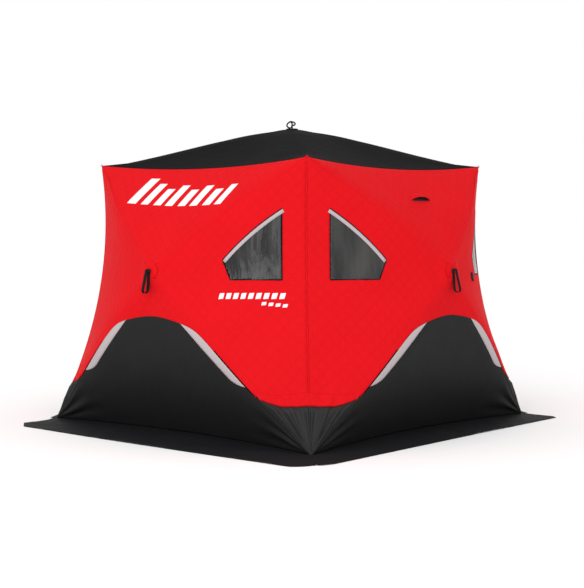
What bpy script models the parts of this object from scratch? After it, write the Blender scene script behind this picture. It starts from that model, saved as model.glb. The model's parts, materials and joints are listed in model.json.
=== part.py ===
# Pop-up hub ice fishing shelter, in metres with +Z up. The origin is on the ground under its middle.
# Four walls and a roof are built alike. A hub stands out of the plane through a panel's four corners, four poles
# run from it to those corners, and four triangular pieces of the cover are stretched between hub and corners.
# Pushing a hub inwards turns its poles and its cover pieces, until the panel is hollow instead of domed.

import math

import bmesh
import bpy
from mathutils import Matrix, Vector

# The frame
BASE_SIDE = 2.388  # between the corner pockets on the ground
WALL_INSET = 0.236  # how far in a wall leans, from its foot to the roof edge
CORNER_HEIGHT = 1.80
ROOF_RISE = 0.255  # from the roof corners up to the cover at the roof hub
HUB_OUT = 0.325  # a wall hub in front of the plane through the wall's corners
HUB_UP = 1.05  # a wall hub above the ground edge, along that plane

# The cover
FABRIC = 0.002
HEM = 0.012  # from a corner-to-corner seam to the edge of a cover piece
SEAM_GAP = 0.003  # from a pole line to the edge of a cover piece
HUB_PATCH = 0.115  # what the hub takes off the tip of a cover piece
SKIRT_WIDTH = 0.37
SKIRT_THICKNESS = 0.002
SKIRT_UNDERLAP = 0.03  # how far the skirt reaches in under the walls
SKIRT_NIP = 0.29  # the skirt at a whole corner, along the diagonal
SKIRT_SETBACK = 0.48  # how far the back skirts stop short of a side corner
SKIRT_TIP = 0.055  # how far a front skirt's slanted end stops short of the corner, at its outer edge
SKIRT_ELBOW = (0.24, 0.067)  # the bend in that end: out from the wall, and on past the corner

# Hubs and poles
HUB_RADIUS = 0.055
HUB_BODY = 0.036  # thickness behind the cover
NECK_RADIUS = 0.018
PLATE_RADIUS = 0.042
PLATE_THICKNESS = 0.008
PATCH_GAP = 0.012  # from the cover in to the hub body
PLATE_GAP = 0.003  # from the cover out to the plate
HUB_CHAMFER = 0.003
PIN_RADIUS = 0.0025
PIN_CLEARANCE = 0.0004
PIN_SEAT = 0.0025  # how far a pin is held in the hub on each side of its slot
PIN_INSET = 0.010  # from a pin's middle to the hub's rim
TONGUE_WIDTH = 0.008
TONGUE_RADIUS = 0.0075
TONGUE_SEAT = 0.004  # how far a tongue reaches into its ferrule
SLOT_CLEARANCE = 0.0006  # on each side of a tongue
SLOT_END_CLEARANCE = 0.003  # behind a tongue
POLE_RADIUS = 0.0055
FERRULE_WALL = 0.0023
FERRULE_LENGTH = 0.055
FERRULE_CHAMFER = 0.002
RIM_CLEARANCE = 0.0055  # from the hub's rim to a ferrule
TIP_WALL = 0.002
TIP_LENGTH = 0.025
TIP_SHORT = 0.080  # a pole's tip stops short of the corner, because the pocket takes the rest
TIP_DEPTH = 0.030  # a pole's tip behind the plane through the corners

# Pull loops
BAIL_RADIUS = 0.003
BAIL_STANDOFF = 0.016  # the bail above the plate
LUG_THICKNESS = 0.004
LUG_GAP = 0.002  # between the webbing and a lug
LUG_MARGIN = 0.002  # a lug past the bail
WEBBING = 0.002
WEBBING_CLEARANCE = 0.0005
WALL_LOOP = {"width": 0.025, "length": 0.132, "spread": 0.017}
ROOF_LOOP = {"width": 0.010, "length": 0.024, "spread": 0.014}
ROOF_LOOP_TURN = math.radians(-45)  # the roof's bail points at a corner

# Windows, in the side pieces of the cover
WINDOW_SILL_UP = 1.07  # along the corner seam, from the ground
WINDOW_FROM_SEAM = 0.15
WINDOW_FROM_POLE = 0.20
WINDOW_SILL = 0.335
WINDOW_NOSE = 0.38  # the point that faces the hub, from the side at the seam
PANE_THICKNESS = 0.0015
PANE_GAP = 0.0005

# Door, in a side piece of the left wall
DOOR_FROM_SEAM = 0.165
DOOR_FROM_POLE = 0.05
DOOR_REACH = 0.60  # from its hinge side towards the hub
ZIPPER_GAP = 0.003
SLIDER_OFFSET = 0.010  # the slider's middle from the opening's edge
SLIDER = {"length": 0.016, "width": 0.009, "tab": 0.024, "tab_width": 0.005, "thickness": 0.0025}

# Vent, in the top piece of the right wall
VENT_DOWN = 0.24  # from the roof edge
VENT_WIDTH = 0.20
VENT_HEIGHT = 0.045
HOOD_MARGIN = 0.015
HOOD_THICKNESS = 0.003
HOOD_LIFT = math.radians(25)

TOUCH = 0.0005  # gap between pieces that touch
SUNK = 0.001  # how far a welded-on piece reaches into what carries it
CUT_PAST = 0.002  # how far a cutter reaches past what it cuts
PIN_SIDES = 12
ROUND_SIDES = 32
RING_SIDES = 12

CORNERS = ("lower_left", "lower_right", "upper_right", "upper_left")
EDGES = ("bottom", "right", "top", "left")

MATERIALS = {
    "red_cover": ((0.83, 0.016, 0.018), 0.72, 0.0),
    "black_cover": ((0.018, 0.018, 0.020), 0.75, 0.0),
    "vinyl": ((0.06, 0.065, 0.07), 0.18, 0.0),
    "nylon": ((0.02, 0.02, 0.022), 0.45, 0.0),
    "fibreglass": ((0.55, 0.52, 0.45), 0.40, 0.0),
    "webbing": ((0.012, 0.012, 0.013), 0.80, 0.0),
    "zipper_metal": ((0.35, 0.35, 0.36), 0.35, 1.0),
}


# ---- Scene, collections and materials

for old in list(bpy.data.objects):
    bpy.data.objects.remove(old)
parts = bpy.data.collections.new("ice_fishing_shelter")
cutters = bpy.data.collections.new("cutters")
for collection in (parts, cutters):
    bpy.context.scene.collection.children.link(collection)


def make_material(name):
    colour, roughness, metallic = MATERIALS[name]
    material = bpy.data.materials.new(name)
    material.use_nodes = True
    shader = material.node_tree.nodes["Principled BSDF"]
    shader.inputs["Base Color"].default_value = (*colour, 1)
    shader.inputs["Roughness"].default_value = roughness
    shader.inputs["Metallic"].default_value = metallic
    material.diffuse_color = (*colour, 1)
    return material


materials = {name: make_material(name) for name in MATERIALS}


def add_object(name, data, matrix, material=None, parent=None):
    obj = bpy.data.objects.new(name, data)
    (parts if material else cutters).objects.link(obj)
    if material:
        data.materials.clear()
        data.materials.append(materials[material])
    else:
        obj.hide_render = True
        obj.display_type = "WIRE"
    obj.matrix_world = matrix
    if parent:
        obj.parent = parent
        obj.matrix_parent_inverse = parent.matrix_world.inverted()
    return obj


def add_empty(name, matrix):
    empty = bpy.data.objects.new(name, None)
    parts.objects.link(empty)
    empty.empty_display_size = 0.1
    empty.matrix_world = matrix
    return empty


# ---- Shapes


def flat_curve(name, outlines, thickness):
    curve = bpy.data.curves.new(name, "CURVE")
    curve.dimensions = "2D"
    curve.fill_mode = "BOTH"
    curve.extrude = thickness / 2
    for outline in outlines:
        spline = curve.splines.new("POLY")
        spline.points.add(len(outline) - 1)
        for point, (x, y) in zip(spline.points, outline):
            point.co = (x, y, 0, 1)
        spline.use_cyclic_u = True
    return curve


def arc(centre, radius, start, end, steps):
    return [
        (
            centre[0] + radius * math.cos(start + (end - start) * i / steps),
            centre[1] + radius * math.sin(start + (end - start) * i / steps),
        )
        for i in range(steps + 1)
    ]


def crossing(point_a, way_a, point_b, way_b):
    # Where two lines cross, each given by a point and a direction.
    turned = Vector((-way_b.y, way_b.x))
    return point_a + way_a * ((point_b - point_a).dot(turned) / way_a.dot(turned))


def inset(outline, distance):
    # An outline that runs anticlockwise, moved inwards by the distance.
    corners = [Vector(corner) for corner in outline]
    lines = []
    for start, end in zip(corners, corners[1:] + corners[:1]):
        way = (end - start).normalized()
        lines.append((start + Vector((-way.y, way.x)) * distance, way))
    return [tuple(crossing(*before, *after)) for before, after in zip(lines[-1:] + lines[:-1], lines)]


def join_shapes(shapes):
    # One mesh from bmesh shapes, each a function that adds to the bmesh.
    shape = bmesh.new()
    for add in shapes:
        add(shape)
    mesh = bpy.data.meshes.new("shape")
    shape.to_mesh(mesh)
    shape.free()
    return mesh


def box(size, matrix):
    def add(shape):
        bmesh.ops.create_cube(shape, size=1, matrix=matrix @ Matrix.Diagonal((*size, 1)))

    return add


def cylinder(radius, length, matrix, sides=PIN_SIDES):
    def add(shape):
        bmesh.ops.create_cone(
            shape, cap_ends=True, segments=sides, radius1=radius, radius2=radius, depth=length, matrix=matrix
        )

    return add


def turned(name, profile, sides):
    # A profile of (radius, height) points from the top down, turned about Z into a closed mesh.
    shape = bmesh.new()
    points = [shape.verts.new((radius, 0, height)) for radius, height in profile]
    for first, second in zip(points, points[1:]):
        shape.edges.new((first, second))
    mesh = bpy.data.meshes.new(name)
    shape.to_mesh(mesh)
    shape.free()
    obj = add_object(name, mesh, Matrix())
    screw = obj.modifiers.new("turn", "SCREW")
    screw.steps = screw.render_steps = sides
    screw.use_merge_vertices = True
    screw.merge_threshold = 0.00005
    return obj


def baked(obj, name):
    # The object's mesh with its modifiers applied. The object is then removed.
    bpy.context.view_layer.update()
    graph = bpy.context.evaluated_depsgraph_get()
    mesh = bpy.data.meshes.new_from_object(obj.evaluated_get(graph))
    mesh.name = name
    bpy.data.objects.remove(obj)
    mesh.set_sharp_from_angle(angle=math.radians(35))
    return mesh


def combine(obj, operation, mesh):
    operand = add_object(obj.name + "_" + operation.lower(), mesh, Matrix())
    boolean = obj.modifiers.new(operation.lower(), "BOOLEAN")
    boolean.operation = operation
    boolean.object = operand
    return operand


# ---- Panels


class Panel:
    # Its frame has X across, Y up along the panel and Z outwards, with the origin where the hub's axis meets it.
    def __init__(self, name, matrix, corners, hub_out):
        self.name = name
        self.matrix = matrix
        self.corners = dict(zip(CORNERS, corners))
        self.hub_out = hub_out

    def edge(self, side):
        first = EDGES.index(side)
        return self.corners[CORNERS[first]], self.corners[CORNERS[(first + 1) % 4]]


TOP_SIDE = BASE_SIDE - 2 * WALL_INSET  # between the roof corners
LEAN = math.atan2(WALL_INSET, CORNER_HEIGHT)
SLANT = CORNER_HEIGHT / math.cos(LEAN)


def wall(name, heading):
    outwards = Vector((math.cos(heading), math.sin(heading), 0))
    up = Vector((0, 0, math.cos(LEAN))) - outwards * math.sin(LEAN)
    normal = Vector((0, 0, math.sin(LEAN))) + outwards * math.cos(LEAN)
    matrix = Matrix((up.cross(normal), up, normal)).transposed().to_4x4()
    matrix.translation = outwards * BASE_SIDE / 2 + up * HUB_UP
    low, high = -HUB_UP, SLANT - HUB_UP
    corners = [(-BASE_SIDE / 2, low), (BASE_SIDE / 2, low), (TOP_SIDE / 2, high), (-TOP_SIDE / 2, high)]
    return Panel(name, matrix, [Vector(corner) for corner in corners], HUB_OUT)


def roof():
    half = TOP_SIDE / 2
    corners = [Vector(corner) for corner in ((-half, -half), (half, -half), (half, half), (-half, half))]
    return Panel("roof", Matrix.Translation((0, 0, CORNER_HEIGHT)), corners, ROOF_RISE)


panels = {
    "front": wall("front", math.radians(-90)),
    "right": wall("right", 0),
    "back": wall("back", math.radians(90)),
    "left": wall("left", math.radians(180)),
    "roof": roof(),
}


# ---- The cover


class CoverPiece:
    # A triangle hinged on the seam between two corners. Its frame has X along the seam, anticlockwise seen from
    # outside, Y towards the hub and Z outwards, with the origin on the seam, straight below the hub.
    def __init__(self, panel, side):
        start, end = panel.edge(side)
        along = (end - start).normalized()
        inwards = Vector((-along.y, along.x))
        foot = start - along * start.dot(along)
        self.reach = -start.dot(inwards)
        self.start = (start - foot).dot(along)
        self.end = (end - foot).dot(along)
        self.lift = math.atan2(panel.hub_out, self.reach)
        axes = Matrix((along.to_3d(), inwards.to_3d(), Vector((0, 0, 1)))).transposed().to_4x4()
        hinge = panel.matrix @ Matrix.Translation(foot.to_3d()) @ axes
        self.matrix = hinge @ Matrix.Rotation(self.lift, 4, "X")

    def sloping_side(self, end, distance):
        # The line from a seam end to the hub, moved inwards: a point and its direction towards the hub.
        way = Vector((-end, self.reach)).normalized()
        inside = Vector((way.y, -way.x)) * (1 if end < 0 else -1)
        return Vector((end, 0)) + inside * distance, way

    def across(self, height, end, distance):
        # The point on that line at this height above the seam.
        return crossing(Vector((0, height)), Vector((1, 0)), *self.sloping_side(end, distance))

    def outline(self):
        low, high = HEM, self.reach - HUB_PATCH
        return [
            tuple(self.across(low, self.start, SEAM_GAP)),
            tuple(self.across(low, self.end, SEAM_GAP)),
            tuple(self.across(high, self.end, SEAM_GAP)),
            tuple(self.across(high, self.start, SEAM_GAP)),
        ]

    def level(self):
        # The horizontal direction in the piece, pointing towards the hub.
        up_along, up_inwards = self.matrix.col[0].z, self.matrix.col[1].z
        return Vector((-up_inwards, up_along)).normalized() * (1 if up_along > 0 else -1)

    def below(self, side):
        # The seam's lower and upper ends, with the direction that goes up the seam.
        return (self.start, self.end, 1) if side == "right" else (self.end, self.start, -1)


def window_outline(piece, side):
    low_end, high_end, upwards = piece.below(side)
    sill = Vector((low_end + upwards * WINDOW_SILL_UP, WINDOW_FROM_SEAM))
    sill_end = sill + piece.level() * WINDOW_SILL
    nose = piece.across(WINDOW_FROM_SEAM + WINDOW_NOSE, high_end, WINDOW_FROM_POLE)
    top = piece.across(WINDOW_FROM_SEAM, high_end, WINDOW_FROM_POLE)
    points = [tuple(point) for point in (sill, top, nose, sill_end)]
    return points if side == "right" else points[::-1]


def door_outline(piece, side):
    low_end, high_end, _ = piece.below(side)
    inner = DOOR_FROM_SEAM + DOOR_REACH
    points = [
        tuple(piece.across(DOOR_FROM_SEAM, low_end, DOOR_FROM_POLE)),
        tuple(piece.across(DOOR_FROM_SEAM, high_end, DOOR_FROM_POLE)),
        tuple(piece.across(inner, high_end, DOOR_FROM_POLE)),
        tuple(piece.across(inner, low_end, DOOR_FROM_POLE)),
    ]
    return points if side == "right" else points[::-1]


def vent_outline(margin=0.0):
    half, top, bottom = VENT_WIDTH / 2 + margin, VENT_DOWN - margin, VENT_DOWN + VENT_HEIGHT + margin
    return [(-half, top), (half, top), (half, bottom), (-half, bottom)]


WINDOWS = (("front", "right"), ("right", "left"), ("right", "right"), ("back", "left"), ("left", "left"))
DOOR = ("left", "right")
VENT = ("right", "top")


def cover_material(panel, side):
    return "black_cover" if panel == "roof" or side == "bottom" else "red_cover"


cover = {}
for panel_name, panel in panels.items():
    for side in EDGES:
        piece = cover[panel_name, side] = CoverPiece(panel, side)
        outlines = [piece.outline()]
        if (panel_name, side) in WINDOWS:
            outlines.append(window_outline(piece, side))
        if (panel_name, side) == DOOR:
            outlines.append(door_outline(piece, side))
        if (panel_name, side) == VENT:
            outlines.append(vent_outline())
        name = f"{panel_name}_{side}_cover"
        curve = flat_curve(name, outlines, FABRIC)
        piece.object = add_object(name, curve, piece.matrix, cover_material(panel_name, side))

for panel_name, side in WINDOWS:
    piece = cover[panel_name, side]
    pane = flat_curve("pane", [inset(window_outline(piece, side), PANE_GAP)], PANE_THICKNESS)
    add_object(f"{panel_name}_{side}_window", pane, piece.matrix, "vinyl", piece.object)


# ---- Door, zipper slider and vent hood

door_piece = cover[DOOR]
door_edge = Vector((0, DOOR_FROM_SEAM + ZIPPER_GAP / 2, FABRIC / 2))
door_hinge = door_piece.matrix @ Matrix.Translation(door_edge)
door_flap = inset([(x, y - door_edge.y) for x, y in door_outline(door_piece, DOOR[1])], ZIPPER_GAP)
door_curve = flat_curve("door", [door_flap], FABRIC)
door_pivot = add_empty("door_hinge", door_hinge)
door_pivot.parent = door_piece.object
door_pivot.matrix_parent_inverse = door_piece.matrix.inverted()
add_object(
    "door_flap", door_curve, door_hinge @ Matrix.Translation((0, 0, -FABRIC / 2)), "red_cover", door_pivot
)


def slider_outline():
    half, tab = SLIDER["length"] / 2, SLIDER["tab_width"] / 2
    body = SLIDER["width"] / 2
    tab_end = half + SLIDER["tab"] - tab
    return [
        (-half, -body),
        (half * 0.6, -body),
        (half, -tab),
        *arc((tab_end, 0), tab, -math.pi / 2, math.pi / 2, 6),
        (half, tab),
        (half * 0.6, body),
        (-half, body),
    ]


slider_start, slider_way = door_piece.sloping_side(door_piece.start, DOOR_FROM_POLE - SLIDER_OFFSET)
slider_start += slider_way * (door_piece.across(DOOR_FROM_SEAM, door_piece.start, 0).y + SLIDER["length"])
slider_matrix = (
    door_piece.matrix
    @ Matrix.Translation((*slider_start, FABRIC / 2 + TOUCH + SLIDER["thickness"] / 2))
    @ Matrix.Rotation(math.atan2(slider_way.y, slider_way.x), 4, "Z")
)
slider_curve = flat_curve("slider", [slider_outline()], SLIDER["thickness"])
add_object("zipper_slider", slider_curve, slider_matrix, "zipper_metal", door_piece.object)

vent_piece = cover[VENT]
hood_top = VENT_DOWN - HOOD_MARGIN
hood_height = FABRIC / 2 + TOUCH + HOOD_THICKNESS / 2
hood_hinge = vent_piece.matrix @ Matrix.Translation((0, hood_top, hood_height))
hood_outline = [(x, y - hood_top) for x, y in vent_outline(HOOD_MARGIN)]
hood_curve = flat_curve("hood", [hood_outline], HOOD_THICKNESS)
hood_matrix = hood_hinge @ Matrix.Rotation(HOOD_LIFT, 4, "X")
add_object("vent_hood", hood_curve, hood_matrix, "red_cover", vent_piece.object)


# ---- Skirt


def skirt_outline():
    base, out = BASE_SIDE / 2, BASE_SIDE / 2 + SKIRT_WIDTH
    nip = 2 * base + SKIRT_NIP * math.sqrt(2)  # |x| + |y| on the cut across a whole corner
    inner = base + SKIRT_UNDERLAP
    back = base - SKIRT_SETBACK
    end = [(out, base - SKIRT_TIP), (base + SKIRT_ELBOW[0], base + SKIRT_ELBOW[1]), (inner, inner)]
    return [
        (nip - out, -out),
        (out, out - nip),
        *end,
        (back, out),
        (out - nip, out),
        (-out, nip - out),
        (-out, -back),
        *[(-y, -x) for x, y in reversed(end)],
    ]


hole = BASE_SIDE / 2 - SKIRT_UNDERLAP
skirt_inner = [(x * hole, y * hole) for x, y in ((-1, -1), (1, -1), (1, 1), (-1, 1))]
skirt_curve = flat_curve("skirt", [skirt_outline(), skirt_inner], SKIRT_THICKNESS)
add_object("skirt", skirt_curve, Matrix.Translation((0, 0, SKIRT_THICKNESS / 2)), "black_cover")


# ---- Hubs, poles and pull loops

PIVOT_RADIUS = HUB_RADIUS - PIN_INSET  # from the hub's middle to a pole's pin
PIVOT_DEPTH = PATCH_GAP + HUB_BODY / 2
FERRULE_START = PIN_INSET + RIM_CLEARANCE  # from the pin
FERRULE_END = FERRULE_START + FERRULE_LENGTH
FERRULE_RADIUS = POLE_RADIUS + FERRULE_WALL
TIP_RADIUS = POLE_RADIUS + TIP_WALL
PLATE_TOP = PLATE_GAP + PLATE_THICKNESS
BAIL_HEIGHT = PLATE_TOP + BAIL_STANDOFF


def heading(corner):
    return math.atan2(corner.y, corner.x)


def at_pivot(corner):
    # A pole's pin in the hub: X along the pin, Y towards the corner.
    turn = Matrix.Rotation(heading(corner) - math.pi / 2, 4, "Z")
    return turn @ Matrix.Translation((0, PIVOT_RADIUS, -PIVOT_DEPTH))


def hub_profile():
    body_top, body_bottom = -PATCH_GAP, -PATCH_GAP - HUB_BODY
    return [
        (0, PLATE_TOP),
        (PLATE_RADIUS - HUB_CHAMFER, PLATE_TOP),
        (PLATE_RADIUS, PLATE_TOP - HUB_CHAMFER),
        (PLATE_RADIUS, PLATE_GAP),
        (NECK_RADIUS, PLATE_GAP),
        (NECK_RADIUS, body_top),
        (HUB_RADIUS - HUB_CHAMFER, body_top),
        (HUB_RADIUS, body_top - HUB_CHAMFER),
        (HUB_RADIUS, body_bottom + HUB_CHAMFER),
        (HUB_RADIUS - HUB_CHAMFER, body_bottom),
        (0, body_bottom),
    ]


def hub_mesh(name, corners, loop, loop_turn):
    slot_floor = PIVOT_RADIUS - TONGUE_RADIUS - SLOT_END_CLEARANCE
    slot_length = HUB_RADIUS - slot_floor + CUT_PAST
    slot_width = TONGUE_WIDTH + 2 * SLOT_CLEARANCE
    slots, pins = [], []
    for corner in corners:
        turn = Matrix.Rotation(heading(corner) - math.pi / 2, 4, "Z")
        middle = Matrix.Translation((0, slot_floor + slot_length / 2, -PIVOT_DEPTH))
        slots.append(box((slot_width, slot_length, HUB_BODY + 2 * CUT_PAST), turn @ middle))
        across = at_pivot(corner) @ Matrix.Rotation(math.pi / 2, 4, "Y")
        pins.append(cylinder(PIN_RADIUS, slot_width + 2 * PIN_SEAT, across))
    half_bail = loop["width"] / 2 + LUG_GAP + LUG_THICKNESS / 2
    lug_height = BAIL_STANDOFF + BAIL_RADIUS + LUG_MARGIN + SUNK
    lug_size = (LUG_THICKNESS, 4 * BAIL_RADIUS, lug_height)
    lug_middle = PLATE_TOP - SUNK + lug_height / 2
    lugs = [
        box(lug_size, loop_turn @ Matrix.Translation((x, 0, lug_middle))) for x in (-half_bail, half_bail)
    ]
    bail_lie = Matrix.Translation((0, 0, BAIL_HEIGHT)) @ Matrix.Rotation(math.pi / 2, 4, "Y")
    bail = cylinder(BAIL_RADIUS, 2 * half_bail, loop_turn @ bail_lie)
    body = turned(name, hub_profile(), ROUND_SIDES)
    helpers = [
        combine(body, "DIFFERENCE", join_shapes(slots)),
        combine(body, "UNION", join_shapes(pins + [bail])),
        combine(body, "UNION", join_shapes(lugs)),
    ]
    mesh = baked(body, name)
    for helper in helpers:
        bpy.data.objects.remove(helper)
    return mesh


def pole_length(panel, corner):
    flat = corner.length - TIP_SHORT - PIVOT_RADIUS
    return math.hypot(flat, panel.hub_out - PIVOT_DEPTH + TIP_DEPTH)


def pole_lift(panel, corner):
    return math.asin((panel.hub_out - PIVOT_DEPTH + TIP_DEPTH) / pole_length(panel, corner))


def pole_mesh(name, length):
    # Its frame has the pin along X and the pole along Y.
    lie_down = Matrix.Rotation(-math.pi / 2, 4, "X")
    tip_start = length - TIP_LENGTH
    profile = [
        (0, length),
        (TIP_RADIUS * 0.6, length - TIP_RADIUS * 0.2),
        (TIP_RADIUS, length - TIP_RADIUS),
        (TIP_RADIUS, tip_start),
        (POLE_RADIUS, tip_start),
        (POLE_RADIUS, FERRULE_END),
        (FERRULE_RADIUS, FERRULE_END - FERRULE_CHAMFER),
        (FERRULE_RADIUS, FERRULE_START),
        (0, FERRULE_START),
    ]
    pole = turned(name, profile, PIN_SIDES)
    pole.matrix_world = lie_down
    tongue_end = FERRULE_START + TONGUE_SEAT
    across = Matrix.Rotation(math.pi / 2, 4, "Y")
    tongue = flat_curve(
        "tongue",
        [
            [
                *arc((0, 0), TONGUE_RADIUS, math.pi, 2 * math.pi, 8),
                (TONGUE_RADIUS, tongue_end),
                (-TONGUE_RADIUS, tongue_end),
            ],
            arc((0, 0), PIN_RADIUS + PIN_CLEARANCE, 0, 2 * math.pi * (1 - 1 / PIN_SIDES), PIN_SIDES - 1),
        ],
        TONGUE_WIDTH,
    )
    tongue_object = add_object("tongue", tongue, Matrix())
    tongue_mesh = baked(tongue_object, "tongue")
    welded = bmesh.new()
    welded.from_mesh(tongue_mesh)
    bmesh.ops.remove_doubles(welded, verts=welded.verts, dist=0.00001)
    bmesh.ops.rotate(welded, matrix=Matrix.Rotation(math.pi / 2, 3, "Y"), verts=welded.verts)
    welded.to_mesh(tongue_mesh)
    welded.free()
    helper = combine(pole, "UNION", tongue_mesh)
    mesh = baked(pole, name)
    mesh.transform(lie_down)
    bpy.data.objects.remove(helper)
    return mesh


def teardrop(top_radius, bottom_radius, length, grow):
    # A loop that hangs from the origin along -Y, its outline moved outwards by grow.
    small, large = top_radius + grow, bottom_radius + grow
    slope = math.asin((large - small) / length)
    return [
        *arc((0, 0), small, slope, math.pi - slope, RING_SIDES),
        *arc((0, -length), large, math.pi - slope, 2 * math.pi + slope, RING_SIDES),
    ]


def loop_curve(name, loop):
    small = BAIL_RADIUS + WEBBING_CLEARANCE
    inside = teardrop(small, loop["spread"], loop["length"], 0)
    outside = teardrop(small, loop["spread"], loop["length"], WEBBING)
    return flat_curve(name, [outside, inside], loop["width"])


pole_meshes = {}
hub_meshes = {}
for panel_name, panel in panels.items():
    is_roof = panel_name == "roof"
    loop = ROOF_LOOP if is_roof else WALL_LOOP
    loop_turn = Matrix.Rotation(ROOF_LOOP_TURN if is_roof else 0, 4, "Z")
    shape_name = "roof" if is_roof else "wall"
    if shape_name not in hub_meshes:
        hub_meshes[shape_name] = hub_mesh(shape_name + "_hub", panel.corners.values(), loop, loop_turn)
    hub_matrix = panel.matrix @ Matrix.Translation((0, 0, panel.hub_out))
    hub = add_object(f"{panel_name}_hub", hub_meshes[shape_name], hub_matrix, "nylon")

    for corner_name, corner in panel.corners.items():
        length = round(pole_length(panel, corner), 6)
        if length not in pole_meshes:
            pole_meshes[length] = pole_mesh("pole", length)
        pivot = hub_matrix @ at_pivot(corner)
        pole_matrix = pivot @ Matrix.Rotation(-pole_lift(panel, corner), 4, "X")
        name = f"{panel_name}_{corner_name}_pole"
        add_object(name, pole_meshes[length], pole_matrix, "fibreglass", hub)

    # A wall loop's outline lies in the upright plane across its wall, and the roof's in one across a diagonal.
    bail = hub_matrix @ loop_turn @ Matrix.Translation((0, 0, BAIL_HEIGHT))
    upright = Matrix.Rotation(math.pi / 2, 4, "Y")
    hang = Matrix.Rotation(-math.pi / 2, 4, "X") if is_roof else Matrix.Rotation(LEAN, 4, "X")
    add_object(f"{panel_name}_pull_loop", loop_curve("loop", loop), bail @ hang @ upright, "webbing", hub)
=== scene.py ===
# Looks of the pop-up hub ice fishing shelter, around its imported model. Metres, +Z up.
import json
import math
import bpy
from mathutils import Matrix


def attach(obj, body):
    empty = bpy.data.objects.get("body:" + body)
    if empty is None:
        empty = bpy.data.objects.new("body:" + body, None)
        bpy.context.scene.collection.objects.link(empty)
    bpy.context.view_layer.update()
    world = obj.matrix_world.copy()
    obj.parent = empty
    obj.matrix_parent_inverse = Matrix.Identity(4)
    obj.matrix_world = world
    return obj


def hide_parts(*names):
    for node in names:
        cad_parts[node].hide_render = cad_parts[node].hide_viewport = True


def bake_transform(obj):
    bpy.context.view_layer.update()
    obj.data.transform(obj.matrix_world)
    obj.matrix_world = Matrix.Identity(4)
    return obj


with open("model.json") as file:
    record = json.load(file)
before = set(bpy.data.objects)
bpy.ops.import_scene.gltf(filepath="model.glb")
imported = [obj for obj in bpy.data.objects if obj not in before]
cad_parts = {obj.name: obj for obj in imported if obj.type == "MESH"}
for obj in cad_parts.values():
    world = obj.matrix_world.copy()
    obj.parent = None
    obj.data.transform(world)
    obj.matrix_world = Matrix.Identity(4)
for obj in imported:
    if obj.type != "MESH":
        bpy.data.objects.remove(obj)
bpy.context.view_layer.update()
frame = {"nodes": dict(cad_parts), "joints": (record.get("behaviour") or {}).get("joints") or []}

from types import SimpleNamespace

import bmesh
import bpy
from mathutils import Matrix, Vector, noise
from mathutils.geometry import intersect_line_line

joints = {joint["name"]: joint for joint in frame["joints"]}
wallNames = ("front", "right", "back", "left")
sideNames = ("bottom", "right", "top", "left")
mm = 0.001
print("frame read:", len(frame["nodes"]), "nodes")


# Camera, lights and floor

camera = {"lens": 81.76, "distance": 9.609, "height": 1.377, "azimuth": 41.13, "down": 2.94}
studio = {"background": "ffffff", "floor": "f7f7f7", "floorSize": 400}
sun = {"strength": 0.42, "angle": 60, "from": (0.45, -0.95, 0.95)}
lights = {  # place, size, watts
    "keyLight": ((2.5, -7.5, 5.0), 6.0, 120),
    "lowFill": ((5.5, -6.5, 0.5), 5.0, 70),
}


def linear(code):
    # An sRGB hex colour as the linear one that a shader takes.
    shares = [int(code[i:i + 2], 16) / 255 for i in (0, 2, 4)]
    return tuple(s / 12.92 if s <= 0.04045 else ((s + 0.055) / 1.055) ** 2.4 for s in shares)


def addNode(tree, kind, settings=None, links=None):
    # A node with its settings, and what goes into each of its sockets: a value, or another node's output.
    node = tree.nodes.new(kind)
    for name, value in (settings or {}).items():
        setattr(node, name, value)
    for socket, source in (links or {}).items():
        if isinstance(source, bpy.types.NodeSocket):
            tree.links.new(source, node.inputs[socket])
        else:
            node.inputs[socket].default_value = source
    return node


def emptyMaterial(name):
    material = bpy.data.materials.new(name)
    material.use_nodes = True
    material.node_tree.nodes.clear()
    return material, material.node_tree


def closeMaterial(tree, shader):
    addNode(tree, "ShaderNodeOutputMaterial", links={"Surface": shader.outputs["BSDF"]})


def makeStudio():
    scene = bpy.context.scene
    scene.view_settings.view_transform = "Standard"
    world = bpy.data.worlds.new("studio")
    world.use_nodes = True
    background = world.node_tree.nodes["Background"]
    background.inputs["Color"].default_value = (*linear(studio["background"]), 1)
    scene.world = world

    shape = bmesh.new()
    bmesh.ops.create_grid(shape, x_segments=1, y_segments=1, size=studio["floorSize"] / 2)
    mesh = bpy.data.meshes.new("floor")
    shape.to_mesh(mesh)
    shape.free()
    floor = bpy.data.objects.new("floor", mesh)
    scene.collection.objects.link(floor)
    paper, tree = emptyMaterial("backdropPaper")
    closeMaterial(tree, addNode(tree, "ShaderNodeBsdfDiffuse", links={"Color": (*linear(studio["floor"]), 1)}))
    mesh.materials.append(paper)

    for name, (place, size, watts) in lights.items():
        light = bpy.data.lights.new(name, "AREA")
        light.shape = "DISK"
        light.size = size
        light.energy = watts
        lamp = bpy.data.objects.new(name, light)
        lamp.location = place
        lamp.rotation_euler = (Vector((0, 0, 1)) - Vector(place)).to_track_quat("-Z", "Y").to_euler()
        scene.collection.objects.link(lamp)

    light = bpy.data.lights.new("sun", "SUN")
    light.energy = sun["strength"]
    light.angle = math.radians(sun["angle"])
    lamp = bpy.data.objects.new("sun", light)
    lamp.rotation_euler = Vector(sun["from"]).to_track_quat("Z", "Y").to_euler()
    scene.collection.objects.link(lamp)

    data = bpy.data.cameras.new("camera")
    data.lens = camera["lens"]
    eye = bpy.data.objects.new("camera", data)
    azimuth = math.radians(camera["azimuth"])
    eye.location = (camera["distance"] * math.sin(azimuth), -camera["distance"] * math.cos(azimuth), camera["height"])
    eye.rotation_euler = (math.radians(90 - camera["down"]), 0, azimuth)
    scene.collection.objects.link(eye)
    scene.camera = eye


makeStudio()
print("studio ready")


# Materials. A period in metres becomes a Wave texture's scale through waveUnit.

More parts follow.
